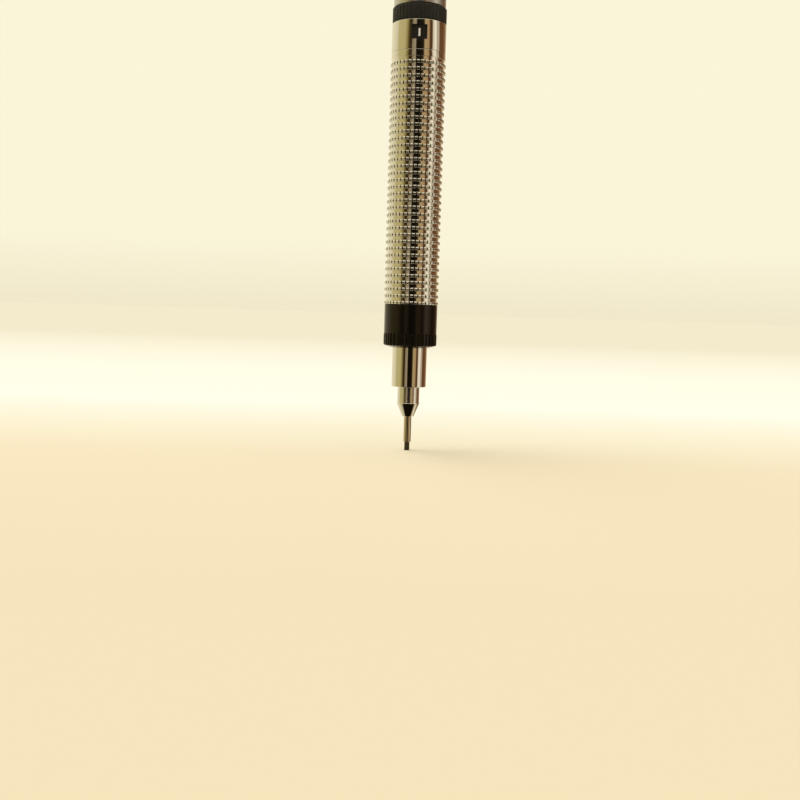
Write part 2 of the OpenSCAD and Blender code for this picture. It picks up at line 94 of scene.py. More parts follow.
def calc(tree, operation, a, b=0.0):
    """One step of arithmetic on two numbers or outputs."""
    node = tree.nodes.new("ShaderNodeMath")
    node.operation = operation
    link_value(tree, node.inputs[0], a)
    link_value(tree, node.inputs[1], b)
    return node.outputs[0]


def colours_along(tree, factor, stops):
    """A row of colours, blended evenly from one stop to the next."""
    node = tree.nodes.new("ShaderNodeValToRGB")
    ramp = node.color_ramp
    ramp.elements[0].position, ramp.elements[1].position = stops[0][0], stops[-1][0]
    for place, _ in stops[1:-1]:
        ramp.elements.new(place)
    for element, (_, colour) in zip(ramp.elements, stops):
        element.color = (*colour, 1.0)
    tree.links.new(factor, node.inputs["Fac"])
    return node.outputs["Color"]


def mixed(tree, factor, a, b):
    """Colour a blended into colour b. The node's colours are its inputs 6 and 7."""
    node = tree.nodes.new("ShaderNodeMix")
    node.data_type = "RGBA"
    link_value(tree, node.inputs[0], factor)
    link_value(tree, node.inputs[6], a)
    link_value(tree, node.inputs[7], b)
    return node.outputs[2]


cream_wall = (0.85, 0.76, 0.52)
green_board = (0.62, 0.56, 0.36)
straw_board = (0.485, 0.41, 0.18)
dark_board = (0.030, 0.017, 0.004)
dark_gap = (0.006, 0.004, 0.0015)
tan_board = (0.42, 0.30, 0.14)
red_board = (0.125, 0.055, 0.020)
window_sheet = (0.66, 0.57, 0.41)
ceiling = (1.0, 0.90, 0.66, 1.0)

# What upright faces show, by direction in degrees: 0 is straight behind the camera, and
# they grow to the right
strips = [
    (-180, cream_wall),
    (-130, (0.74, 0.66, 0.44)),
    (-104, green_board),
    (-97, straw_board),
    (-62, (0.46, 0.38, 0.165)),
    (-52, (0.30, 0.23, 0.08)),
    (-45, (0.12, 0.08, 0.022)),
    (-39, dark_board),
    (-31, dark_board),
    (-27, (0.26, 0.20, 0.11)),
    (-19, (0.26, 0.20, 0.12)),
    (-16, (0.42, 0.35, 0.22)),
    (-13, (0.16, 0.12, 0.06)),
    (-10, dark_gap),
    (8, dark_gap),
    (20, (0.020, 0.012, 0.004)),
    (26, tan_board),
    (43, (0.36, 0.22, 0.10)),
    (47, (0.08, 0.035, 0.012)),
    (57, (0.08, 0.035, 0.012)),
    (63, window_sheet),
    (76, (0.86, 0.77, 0.60)),
    (84, (0.36, 0.29, 0.20)),
    (91, (0.52, 0.43, 0.31)),
    (98, red_board),
    (120, red_board),
    (140, (0.24, 0.115, 0.050)),
    (156, (0.46, 0.34, 0.19)),
    (180, cream_wall),
]
# What faces that look downwards show: the bench top round the point
bench_strips = [
    (-180, cream_wall),
    (-120, (0.68, 0.62, 0.42)),
    (-84, (0.46, 0.41, 0.24)),
    (-64, dark_gap),
    (72, dark_gap),
    (82, (0.36, 0.27, 0.13)),
    (96, (0.66, 0.58, 0.40)),
    (180, cream_wall),
]


def round_the_room(stops):
    """The same row with its directions turned into places from 0 to 1."""
    return [((degrees + 180.0) / 360.0, colour) for degrees, colour in stops]


def axes(tree, place):
    """The x, y and z of a place or a direction."""
    node = tree.nodes.new("ShaderNodeSeparateXYZ")
    tree.links.new(place, node.inputs[0])
    return node.outputs


direction = room.nodes.new("ShaderNodeTexCoord").outputs["Generated"]
side, ahead, up = axes(room, direction)
bearing = calc(room, "ARCTAN2", side, calc(room, "MULTIPLY", ahead, -1.0))
turn = calc(room, "ADD", calc(room, "DIVIDE", bearing, 2.0 * math.pi), 0.5)


def share_between(tree, value, low, high):
    """How far a value is from low to high, held to 0 and 1 outside them."""
    node = tree.nodes.new("ShaderNodeMapRange")
    node.inputs["From Min"].default_value = low
    node.inputs["From Max"].default_value = high
    tree.links.new(value, node.inputs["Value"])
    return node.outputs["Result"]


upright_strips = colours_along(room, turn, round_the_room(strips))
low_strips = colours_along(room, turn, round_the_room(bench_strips))
below = share_between(room, up, -0.42, -0.55)
overhead = share_between(room, up, 0.55, 0.80)
mirrored = mixed(room, below, upright_strips, low_strips)
mirrored = mixed(room, overhead, mirrored, ceiling)
backdrop = colours_along(room, share_between(room, up, 0.0, 0.16), [
    (0.0, (0.88, 0.81, 0.60)),
    (0.35, (0.955, 0.905, 0.69)),
    (1.0, (0.96, 0.91, 0.70)),
])
even_glow = (0.80, 0.76, 0.66, 1.0)
light_path = room.nodes.new("ShaderNodeLightPath")
seen = mixed(room, light_path.outputs["Is Glossy Ray"], even_glow, mirrored)
seen = mixed(room, light_path.outputs["Is Camera Ray"], seen, backdrop)
glow = room.nodes.new("ShaderNodeBackground")
room.links.new(seen, glow.inputs["Color"])
room_output = room.nodes.new("ShaderNodeOutputWorld")
room.links.new(glow.outputs[0], room_output.inputs["Surface"])

# ---- Light ----
# One wide, soft light from the upper left, a little behind the pencil. It lights the bench
# and the matt pieces, and stays out of the chrome, which shows the room's strips alone.
light_data = bpy.data.lights.new("soft_light", "SUN")
light_data.energy = 1.1
light_data.angle = math.radians(50.0)
light_data.color = (1.0, 0.97, 0.90)
light = bpy.data.objects.new("soft_light", light_data)
light_from = Vector((-0.45, 0.20, 0.85))
light.matrix_world = light_from.to_track_quat("Z", "Y").to_matrix().to_4x4()
light.visible_glossy = False
scene.collection.objects.link(light)

# ---- Bench ----
# A plain pale sheet under the point: warm cream in front, nearly white further back, where
# a band of light is painted into its colour.
bench_mesh = bpy.data.meshes.new("bench")
bench_half = 4.0
just_below = -0.00002
corners = [(-1, -1), (1, -1), (1, 1), (-1, 1)]
bench_corners = [(x * bench_half, y * bench_half, just_below) for x, y in corners]
bench_mesh.from_pydata(bench_corners, [], [(0, 1, 2, 3)])
bench = bpy.data.objects.new("bench", bench_mesh)
scene.collection.objects.link(bench)
bench.visible_glossy = False


def bare_finish(name, metallic, roughness):
    """A new material: its node tree, its shader and its Object coordinates."""
    material = bpy.data.materials.new(name)
    material.use_nodes = True
    tree = material.node_tree
    shader = tree.nodes["Principled BSDF"]
    shader.inputs["Metallic"].default_value = metallic
    shader.inputs["Roughness"].default_value = roughness
    place = tree.nodes.new("ShaderNodeTexCoord").outputs["Object"]
    return material, tree, shader, place


def stretched(tree, place, scale):
    """Coordinates stretched or squeezed along each axis."""
    node = tree.nodes.new("ShaderNodeMapping")
    node.inputs["Scale"].default_value = scale
    tree.links.new(place, node.inputs["Vector"])
    return node.outputs["Vector"]


def grain(tree, place, scale, detail=3.0, rough=0.5):
    """Even random grain; the size of its spots is about 1 over the scale, in metres."""
    node = tree.nodes.new("ShaderNodeTexNoise")
    node.inputs["Scale"].default_value = scale
    node.inputs["Detail"].default_value = detail
    node.inputs["Roughness"].default_value = rough
    tree.links.new(place, node.inputs["Vector"])
    return node.outputs["Fac"]


sheet, tree, shader, place = bare_finish("bench_sheet", 0.0, 0.9)
away = axes(tree, place)["Y"]
fibre = grain(tree, place, 900.0, 4.0)
cloud = grain(tree, stretched(tree, place, (1.0, 0.5, 1.0)), 14.0, 2.0)
depth = calc(tree, "ADD", away, calc(tree, "MULTIPLY", cloud, 0.02))
depth_share = share_between(tree, depth, -0.10, 0.70)
# Painted light: the near-white stops at 0.25 and 0.43 are light painted into the sheet's colour, not its
# own tone.
sheet_tone_and_painted_light = colours_along(tree, depth_share, [
    (0.02, (0.84, 0.74, 0.54)),
    (0.12, (0.88, 0.78, 0.58)),
    (0.16, (0.90, 0.85, 0.68)),
    (0.25, (0.94, 0.96, 0.90)),
    (0.43, (0.94, 0.94, 0.85)),
    (0.94, (0.82, 0.78, 0.65)),
])
fibre_share = calc(tree, "MULTIPLY", fibre, 0.06)
tone = mixed(tree, fibre_share, sheet_tone_and_painted_light, (0.9, 0.85, 0.7, 1.0))
tree.links.new(tone, shader.inputs["Base Color"])
shader.inputs["Specular IOR Level"].default_value = 0.0
bench_mesh.materials.append(sheet)

# ---- Lead ----
# A stick of graphite and clay, fired and waxed: matt dark grey, a little shiny where it
# has rubbed, with a flat ground end. The spare sticks in the tube are the same.


def limits(node):
    """Bottom, top and outer radius of a CAD piece, in millimetres."""
    low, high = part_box(node)
    return low[2] / MM, high[2] / MM, high[0] / MM


def rounded(points, steps=4):
    """An outline of (radius, height, fillet) corners with an arc at each fillet."""
    outline = []
    count = len(points)
    for i, (r, z, fillet) in enumerate(points):
        corner = Vector((r, z))
        if fillet <= 0.0:
            outline.append(corner)
            continue
        before = Vector(points[i - 1][:2]) - corner
        after = Vector(points[(i + 1) % count][:2]) - corner
        half_angle = before.angle(after) / 2.0
        reach = fillet / math.tan(half_angle)
        start = corner + before.normalized() * reach
        end = corner + after.normalized() * reach
        middle = (before.normalized() + after.normalized()).normalized()
        centre = corner + middle * (fillet / math.sin(half_angle))
        a, b = start - centre, end - centre
        sweep = a.angle_signed(b)
        for k in range(steps + 1):
            turned_by = Matrix.Rotation(-sweep * k / steps, 2)
            outline.append(centre + turned_by @ a)
    return outline


def shaded(mesh, sharp=30.0):
    """Smooth shading, with crisp edges where two faces meet at more than sharp degrees."""
    mesh.shade_smooth()
    mesh.set_sharp_from_angle(angle=math.radians(sharp))


def finished_mesh(piece_mesh, name, material, sharp=30.0):
    """Doubles merged, normals outwards, edges crisp, and an object for the mesh."""
    shape = bmesh.new()
    shape.from_mesh(piece_mesh)
    bmesh.ops.remove_doubles(shape, verts=shape.verts, dist=1e-8)
    bmesh.ops.recalc_face_normals(shape, faces=shape.faces)
    shape.to_mesh(piece_mesh)
    shape.free()
    shaded(piece_mesh, sharp)
    piece_mesh.materials.clear()
    piece_mesh.materials.append(material)
    piece = bpy.data.objects.new(name, piece_mesh)
    scene.collection.objects.link(piece)
    return piece


def turned(name, points, material, segments=128, steps=4):
    """A closed piece turned on a lathe, from its (radius, height, fillet) corners in mm."""
    outline = rounded(points, steps)
    on_axis = 1e-6
    vertices, faces, rings = [], [], []
    for r, z in outline:
        if r < on_axis:
            rings.append([len(vertices)] * segments)
            vertices.append((0.0, 0.0, z * MM))
            continue
        rings.append(list(range(len(vertices), len(vertices) + segments)))
        for k in range(segments):
            angle = 2.0 * math.pi * k / segments
            vertices.append((r * MM * math.cos(angle), r * MM * math.sin(angle), z * MM))
    for i, ring in enumerate(rings):
        following = rings[(i + 1) % len(rings)]
        for k in range(segments):
            j = (k + 1) % segments
            face = list(dict.fromkeys((ring[k], ring[j], following[j], following[k])))
            if len(face) > 2:
                faces.append(face)
    mesh = bpy.data.meshes.new(name)
    mesh.from_pydata(vertices, [], faces)
    return finished_mesh(mesh, name, material)


def uneven_roughness(tree, shader, pattern, spread, least):
    """Roughness that follows a pattern: least where it is 0, and spread more where it is 1."""
    rough = calc(tree, "ADD", calc(tree, "MULTIPLY", pattern, spread), least)
    tree.links.new(rough, shader.inputs["Roughness"])


def relief(tree, shader, height, strength, depth):
    """Fine relief on the surface, depth in metres."""
    node = tree.nodes.new("ShaderNodeBump")
    node.inputs["Strength"].default_value = strength
    node.inputs["Distance"].default_value = depth
    tree.links.new(height, node.inputs["Height"])
    tree.links.new(node.outputs["Normal"], shader.inputs["Normal"])


graphite, tree, shader, place = bare_finish("graphite", 0.0, 0.5)
specks = grain(tree, place, 9000.0, 5.0, 0.65)
draw_marks = grain(tree, stretched(tree, place, (9000.0, 9000.0, 350.0)), 1.0, 3.0)
tone = colours_along(tree, specks, [(0.30, (0.012, 0.008, 0.003)), (0.62, (0.052, 0.040, 0.022))])
tone = mixed(tree, calc(tree, "MULTIPLY", draw_marks, 0.5), tone, (0.034, 0.026, 0.013, 1.0))
tree.links.new(tone, shader.inputs["Base Color"])
uneven_roughness(tree, shader, specks, 0.35, 0.38)
shader.inputs["Specular Tint"].default_value = (1.0, 0.78, 0.46, 1.0)
relief(tree, shader, specks, 0.35, 0.00002)

lead_z, lead_top, lead_r = limits("lead")
lead = turned("lead_stick", [
    (0.0, lead_z, 0.0),
    (lead_r, lead_z, 0.035),
    (lead_r, lead_top, 0.05),
    (0.0, lead_top, 0.0),
], graphite, segments=64)
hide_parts("lead")
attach(lead, "lead")

# ---- Guide pipe ----
# Thin drawn steel tube that holds the lead clear of the ruler's edge. Its front edge is
# rounded so that it doesn't catch, and it is swaged a hair narrower where it is pressed in.
pipe_steel, tree, shader, place = bare_finish("pipe_steel", 1.0, 0.12)
drawn = grain(tree, stretched(tree, place, (9000.0, 9000.0, 250.0)), 1.0, 4.0)
smudge = grain(tree, place, 700.0, 2.0)
tone = mixed(tree, drawn, (0.64, 0.57, 0.41, 1.0), (0.84, 0.77, 0.60, 1.0))
tree.links.new(tone, shader.inputs["Base Color"])
uneven_roughness(tree, shader, smudge, 0.12, 0.07)
relief(tree, shader, drawn, 0.12, 0.000008)

cone_z, plug_top, cone_rim_r = limits("nose_tip")
pipe_z, pipe_top, pipe_r = limits("guide_pipe")
pipe_bore = lead_r + 0.03
seat_r = pipe_r - 0.03
pipe = turned("guide_tube", [
    (pipe_bore, pipe_z, 0.03),
    (pipe_r, pipe_z, 0.09),
    (pipe_r, cone_z - 0.05, 0.0),
    (seat_r, cone_z + 0.65, 0.0),
    (seat_r, pipe_top, 0.0),
    (pipe_bore, pipe_top, 0.0),
], pipe_steel, segments=96)
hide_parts("guide_pipe")
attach(pipe, "barrel")

# ---- Chuck and mechanism ----
# Turned brass, left bare: the holder of the guide pipe, the clutch ring, the three-jaw
# chuck, its connector, the housing round them and the sleeve that the cap presses on.


def lathe_lines(tree, place, pitch):
    """Fine turning marks along the axis, pitch in metres, unevenly deep."""
    repeat_at_scale_1 = 0.314
    wave = tree.nodes.new("ShaderNodeTexWave")
    wave.wave_type = "BANDS"
    wave.bands_direction = "Z"
    wave.inputs["Scale"].default_value = repeat_at_scale_1 / pitch
    wave.inputs["Distortion"].default_value = 1.5
    wave.inputs["Detail"].default_value = 2.0
    wave.inputs["Detail Scale"].default_value = 0.4
    tree.links.new(place, wave.inputs["Vector"])
    return wave.outputs["Fac"]


brass, tree, shader, place = bare_finish("turned_brass", 1.0, 0.26)
cuts = lathe_lines(tree, place, 0.00012)
tarnish = grain(tree, place, 420.0, 4.0, 0.6)
tone = colours_along(tree, tarnish, [(0.32, (0.50, 0.33, 0.11)), (0.60, (0.80, 0.58, 0.24))])
tone = mixed(tree, calc(tree, "MULTIPLY", cuts, 0.25), tone, (0.90, 0.70, 0.35, 1.0))
tree.links.new(tone, shader.inputs["Base Color"])
uneven_roughness(tree, shader, tarnish, 0.25, 0.14)
relief(tree, shader, cuts, 0.25, 0.000012)


def dressed(material, *names):
    """CAD pieces that keep their own shape get their material."""
    for name in names:
        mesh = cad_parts[name].data
        mesh.materials.clear()
        mesh.materials.append(material)


dressed(brass, "pipe_holder", "clutch_ring", "chuck", "chuck_connector")
dressed(brass, "mechanism_housing", "knock_sleeve")
dressed(graphite, "spare_leads")

# ---- Springs, keys and pins ----
# Bright drawn steel: the coil spring that sends the button back, the two keys that stop
# the nose from turning, the snap ring, and the wire that clears a blocked pipe.
steel, tree, shader, place = bare_finish("drawn_steel", 1.0, 0.24)
drawn = grain(tree, stretched(tree, place, (7000.0, 7000.0, 900.0)), 1.0, 3.0)
tone = mixed(tree, drawn, (0.52, 0.52, 0.52, 1.0), (0.76, 0.76, 0.75, 1.0))
tree.links.new(tone, shader.inputs["Base Color"])
uneven_roughness(tree, shader, drawn, 0.2, 0.16)
relief(tree, shader, drawn, 0.2, 0.00001)
dressed(steel, "key_pins", "snap_ring", "cleaning_pin")

# The coil's first and last turns are closed. In the pencil its upper end goes down with the button, by the
# button's whole travel, and its lower end stays on its seat; here the whole coil goes with the plunger, and
# nothing squeezes it.
spring_z, spring_top, spring_r = limits("return_spring")
wire_r = 0.148
coil_r = spring_r - wire_r
coil_turns = 8.5
coil_steps = 40
wire_sides = 12
shut_turn_h = 0.312
rise = spring_top - spring_z - 2.0 * wire_r


def climbed(wound):
    """How high the wire has climbed after so many turns."""
    if wound < 1.0:
        return shut_turn_h * wound
    if coil_turns - wound < 1.0:
        return rise - shut_turn_h * (coil_turns - wound)
    open_share = (wound - 1.0) / (coil_turns - 2.0)
    return shut_turn_h + (rise - 2.0 * shut_turn_h) * open_share


coil_vertices, coil_faces = [], []
coil_rings = int(coil_turns * coil_steps) + 1
for k in range(coil_rings):
    angle = 2.0 * math.pi * k / coil_steps
    middle_z = spring_z + wire_r + climbed(k / coil_steps)
    for i in range(wire_sides):
        around = 2.0 * math.pi * i / wire_sides
        reach = (coil_r + wire_r * math.cos(around)) * MM
        z = (middle_z + wire_r * math.sin(around)) * MM
        coil_vertices.append((reach * math.cos(angle), reach * math.sin(angle), z))
for k in range(coil_rings - 1):
    for i in range(wire_sides):
        a = k * wire_sides + i
        b = k * wire_sides + (i + 1) % wire_sides
        coil_faces.append((a, a + wire_sides, b + wire_sides, b))
coil_faces.append(tuple(range(wire_sides)))
coil_faces.append(tuple(range(len(coil_vertices) - wire_sides, len(coil_vertices))))
coil_mesh = bpy.data.meshes.new("coil_spring")
coil_mesh.from_pydata(coil_vertices, [], coil_faces)
spring = finished_mesh(coil_mesh, "coil_spring", steel, sharp=50.0)
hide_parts("return_spring")
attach(spring, "plunger")
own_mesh(spring)

# ---- Rubber rings and retainer ----
# Black nitrile rubber: two O-rings that give the turning rings their drag, and the short
# sleeve that keeps the lead from dropping while the jaws are open.
rubber, tree, shader, place = bare_finish("black_rubber", 0.0, 0.62)
bloom = grain(tree, place, 2600.0, 4.0, 0.6)
tone = colours_along(tree, bloom, [(0.35, (0.012, 0.012, 0.012)), (0.70, (0.035, 0.034, 0.033))])
tree.links.new(tone, shader.inputs["Base Color"])
relief(tree, shader, bloom, 0.4, 0.00002)
dressed(rubber, "lead_retainer", "nose_o_ring", "grade_o_ring")

# ---- Nose tip ----
# Chromed brass: a cone with a sharp rim, and a narrow step above it that is plugged into
# the nose sleeve. The cone is as bright as a mirror, with a few hairlines from use.


def chrome_finish(name, haze):
    """Bright chrome over brass, with hairlines and faint finger marks."""
    material, tree, shader, place = bare_finish(name, 1.0, haze)
    hairlines = grain(tree, stretched(tree, place, (1500.0, 1500.0, 5200.0)), 1.0, 5.0, 0.7)
    finger_marks = grain(tree, place, 260.0, 3.0, 0.6)
    warm = mixed(tree, finger_marks, (0.93, 0.91, 0.86, 1.0), (0.98, 0.97, 0.94, 1.0))
    tree.links.new(warm, shader.inputs["Base Color"])
    scratch = share_between(tree, hairlines, 0.56, 0.74)
    marks = share_between(tree, finger_marks, 0.45, 0.75)
    scratched = calc(tree, "ADD", calc(tree, "MULTIPLY", scratch, 0.10), haze)
    uneven_roughness(tree, shader, marks, 0.06, scratched)
    relief(tree, shader, hairlines, 0.05, 0.000004)
    return material, tree, shader, place


plating_haze = 0.05
chrome = chrome_finish("bright_chrome", plating_haze)[0]

sleeve_z, sleeve_top, thread_r = limits("nose_sleeve")
plug_r = 2.0
tip_top = sleeve_z
step_h = 2.85
rim_z = tip_top - step_h
cone_front_r = 1.0
step_r = cone_rim_r - 0.075
holder_r = 1.3
slide_gap = 0.05
fixed_gap = 0.025
pipe_mouth_r = pipe_r + slide_gap

# The narrow step is brushed before it is plated, so it is hazier than the cone
tip_chrome, tree, shader, place = chrome_finish("tip_chrome", plating_haze)
bright = shader.inputs["Roughness"].links[0].from_socket
on_step = calc(tree, "GREATER_THAN", axes(tree, place)["Z"], (rim_z + 0.06) * MM)
uneven_roughness(tree, shader, on_step, 0.13, bright)

tip = turned("nose_tip_chromed", [
    (pipe_mouth_r, cone_z, 0.04),
    (cone_front_r, cone_z, 0.12),
    (cone_rim_r, rim_z - 0.07, 0.02),
    (cone_rim_r, rim_z, 0.02),
    (step_r, rim_z + 0.03, 0.02),
    (step_r, tip_top - 0.14, 0.03),
    (step_r - 0.14, tip_top - fixed_gap, 0.03),
    (plug_r - fixed_gap, tip_top - fixed_gap, 0.0),
    (plug_r - fixed_gap, plug_top, 0.0),
    (holder_r, plug_top, 0.0),
    (holder_r, rim_z + 0.2, 0.0),
    (pipe_mouth_r, rim_z - 0.6, 0.0),
], tip_chrome, segments=160)
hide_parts("nose_tip")
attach(tip, "nose")

# ---- Nose sleeve ----
# Chromed brass tube over the mechanism. The fluted ring's thread drives its collar, so it
# slides forwards over the guide pipe. Two slots in its back run on the keys.
nose_r = 3.0
sleeve_bore = 2.5
thread_z = sleeve_top - 3.0
wall_top = sleeve_z + 1.5
slot_half = 0.65
slot_z = sleeve_top - 5.85
sleeve = turned("nose_sleeve_chromed", [
    (plug_r, sleeve_z, 0.03),
    (nose_r, sleeve_z, 0.12),
    (nose_r, thread_z, 0.0),
    (thread_r, thread_z, 0.1),
    (thread_r, sleeve_top, 0.1),
    (sleeve_bore, sleeve_top, 0.0),
    (sleeve_bore, wall_top, 0.0),
    (plug_r, wall_top, 0.0),
], chrome, segments=192)


def applied(piece, modifier):
    """The mesh that a modifier gives replaces the piece's own, and the modifier goes."""
    graph = bpy.context.evaluated_depsgraph_get()
    mesh = bpy.data.meshes.new_from_object(piece.evaluated_get(graph))
    piece.modifiers.remove(modifier)
    piece.data = mesh
    shaded(mesh)


def cut_away(piece, low, high):
    """A block from corner low to corner high, in mm, is sawn out of a piece."""
    cutter_mesh = bpy.data.meshes.new("cutter")
    shape = bmesh.new()
    middle = [(a + b) / 2.0 * MM for a, b in zip(low, high)]
    size = [(b - a) * MM for a, b in zip(low, high)]
    place = Matrix.Translation(middle) @ Matrix.Diagonal((*size, 1.0))
    bmesh.ops.create_cube(shape, size=1.0, matrix=place)
    shape.to_mesh(cutter_mesh)
    shape.free()
    cutter = bpy.data.objects.new("cutter", cutter_mesh)
    scene.collection.objects.link(cutter)
    saw = piece.modifiers.new("saw", "BOOLEAN")
    saw.operation = "DIFFERENCE"
    saw.solver = "EXACT"
    saw.object = cutter
    applied(piece, saw)
    bpy.data.objects.remove(cutter)


slot_reach = thread_r + 1.0
cut_away(sleeve, (-slot_reach, -slot_half, slot_z), (slot_reach, slot_half, sleeve_top + 1.0))
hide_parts("nose_sleeve")
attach(sleeve, "nose")

# ---- Fluted ring ----
# Black lacquered brass. The band of flutes at its front is turned by thumb and finger,
# and its inner thread screws the nose sleeve out and in. A neck runs up into the grip.
lacquer, tree, shader, place = bare_finish("black_lacquer", 0.0, 0.2)
orange_peel = grain(tree, place, 1900.0, 2.0)
dust = grain(tree, place, 5200.0, 4.0, 0.7)
tone = colours_along(tree, dust, [(0.45, (0.0025, 0.002, 0.0015)), (0.85, (0.010, 0.009, 0.007))])
tree.links.new(tone, shader.inputs["Base Color"])
uneven_roughness(tree, shader, orange_peel, 0.16, 0.12)
shader.inputs["Specular Tint"].default_value = (1.0, 0.88, 0.72, 1.0)
shader.inputs["Specular IOR Level"].default_value = 0.42
relief(tree, shader, orange_peel, 0.08, 0.00001)


def node_tree(name, sizes):
    """An empty Geometry Nodes tree whose inputs are the named sizes."""
    tree = bpy.data.node_groups.new(name, "GeometryNodeTree")
    tree.interface.new_socket("Geometry", in_out="INPUT", socket_type="NodeSocketGeometry")
    kinds = {float: "NodeSocketFloat", int: "NodeSocketInt"}
    for label, value in sizes.items():
        if isinstance(value, bpy.types.Material):
            kind = "NodeSocketMaterial"
        elif isinstance(value, bpy.types.Object):
            kind = "NodeSocketObject"
        else:
            kind = kinds[type(value)]
        tree.interface.new_socket(label, in_out="INPUT", socket_type=kind)
    tree.interface.new_socket("Geometry", in_out="OUTPUT", socket_type="NodeSocketGeometry")
    given = tree.nodes.new("NodeGroupInput").outputs
    return tree, given


def closed_tree(tree, shape, material):
    """The last nodes: instances made real, the material set, and the output."""
    real = tree.nodes.new("GeometryNodeRealizeInstances")
    painted = tree.nodes.new("GeometryNodeSetMaterial")
    output = tree.nodes.new("NodeGroupOutput")
    tree.links.new(shape, real.inputs["Geometry"])
    tree.links.new(real.outputs["Geometry"], painted.inputs["Geometry"])
    tree.links.new(material, painted.inputs["Material"])
    tree.links.new(painted.outputs["Geometry"], output.inputs[0])


def grown(piece, tree, sizes):
    """The piece's mesh is passed through a tree, and what comes out replaces it."""
    modifier = piece.modifiers.new(tree.name, "NODES")
    modifier.node_group = tree
    for item in tree.interface.items_tree:
        if item.in_out == "INPUT" and item.name in sizes:
            modifier[item.identifier] = sizes[item.name]
    piece.update_tag()
    applied(piece, modifier)


def out_from_axis(tree, x, y):
    """Distance from the pencil's axis."""
    squares = calc(tree, "ADD", calc(tree, "MULTIPLY", x, x), calc(tree, "MULTIPLY", y, y))
    return calc(tree, "SQRT", squares)


def fluting(name, sizes):
    """A tree that presses round-bottomed flutes into a turned band, from Bottom to Top."""
    tree, given = node_tree(name, sizes)
    position = tree.nodes.new("GeometryNodeInputPosition").outputs[0]
    x, y, z = axes(tree, position)
    radius = out_from_axis(tree, x, y)
    turns = calc(tree, "DIVIDE", calc(tree, "ARCTAN2", y, x), 2.0 * math.pi)
    along = calc(tree, "FRACT", calc(tree, "ADD", calc(tree, "MULTIPLY", turns, given["Flutes"]), 0.5))
    across = calc(tree, "DIVIDE", calc(tree, "SUBTRACT", along, 0.5), given["Half Width"])
    inside = calc(tree, "MAXIMUM", calc(tree, "SUBTRACT", 1.0, calc(tree, "MULTIPLY", across, across)), 0.0)
    hollow = calc(tree, "MULTIPLY", calc(tree, "SQRT", inside), given["Depth"])
    deepest = calc(tree, "MAXIMUM", calc(tree, "SUBTRACT", radius, given["Floor Radius"]), 0.0)
    in_band = calc(tree, "MULTIPLY",
                   calc(tree, "GREATER_THAN", z, given["Bottom"]),
                   calc(tree, "LESS_THAN", z, given["Top"]))
    inward = calc(tree, "MULTIPLY", calc(tree, "MINIMUM", hollow, deepest), in_band)
    never_zero = calc(tree, "MAXIMUM", radius, 1e-6)
    shrink = calc(tree, "DIVIDE", calc(tree, "SUBTRACT", radius, inward), never_zero)
    moved = tree.nodes.new("ShaderNodeCombineXYZ")
    tree.links.new(calc(tree, "MULTIPLY", x, shrink), moved.inputs[0])
    tree.links.new(calc(tree, "MULTIPLY", y, shrink), moved.inputs[1])
    tree.links.new(z, moved.inputs[2])
    pressed = tree.nodes.new("GeometryNodeSetPosition")
    tree.links.new(given["Geometry"], pressed.inputs["Geometry"])
    tree.links.new(moved.outputs[0], pressed.inputs["Position"])
    closed_tree(tree, pressed.outputs["Geometry"], given["Material"])
    return tree


flute_count = 40
ring_z, neck_top, flute_r = limits("adjuster_ring")
grip_z, grip_top, land_r = limits("grip")
ring_r = flute_r - 0.05
ring_bore = nose_r + slide_gap
flutes_top = ring_z + 2.3
neck_r = 3.8
ring_thread_r = thread_r + slide_gap
ring_thread_z = thread_z - 4.05
groove_z = ring_z + 0.75

# The flutes run out just above flutes_top. Two points close together on the plain wall over
# them keep its shading straight.
ring = turned("fluted_ring_lacquered", [
    (ring_bore, ring_z, 0.06),
    (flute_r - 0.28, ring_z + 0.34, 0.15),
    (flute_r - 0.04, ring_z + 0.46, 0.10),
    (flute_r, ring_z + 0.72, 0.05),
    (flute_r, flutes_top - 0.12, 0.02),
    (ring_r, flutes_top + 0.02, 0.02),
    (ring_r, flutes_top + 0.20, 0.0),
    (ring_r, flutes_top + 0.26, 0.0),
    (ring_r, grip_z - 0.01, 0.09),
    (neck_r, grip_z - 0.01, 0.0),
    (neck_r, neck_top, 0.1),
    (ring_thread_r, neck_top, 0.0),
    (ring_thread_r, ring_thread_z, 0.0),
    (ring_bore, ring_thread_z, 0.0),
    (ring_bore, groove_z + 0.2, 0.0),
    (ring_bore + 0.31, groove_z + 0.2, 0.0),
    (ring_bore + 0.31, groove_z - 0.2, 0.0),
    (ring_bore, groove_z - 0.2, 0.0),
], lacquer, segments=flute_count * 12)
ring_flutes = {
    "Flutes": float(flute_count),
    "Half Width": 0.26,
    "Depth": 0.20 * MM,
    "Floor Radius": (flute_r - 0.22) * MM,
    "Bottom": (ring_z + 0.2) * MM,
    "Top": (flutes_top + 0.10) * MM,
    "Material": lacquer,
}
fluted = fluting("fluted_band", ring_flutes)
grown(ring, fluted, ring_flutes)
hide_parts("adjuster_ring")
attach(ring, "adjuster")

# ---- Knurled grip ----
# Chromed brass. A tool rolls grooves round it and along it, which leaves rows of small
# square studs standing on a bright floor. A plain band closes it at the top.
floor_r = 4.4
knurl_pitch = 1.15
knurl_rows = 36
stud_columns = 40
land_h = 0.6
knurl_top = grip_z + knurl_rows * knurl_pitch
plain_r = 4.6
body_bore = 3.6
body_bore_z = neck_top + 1.0
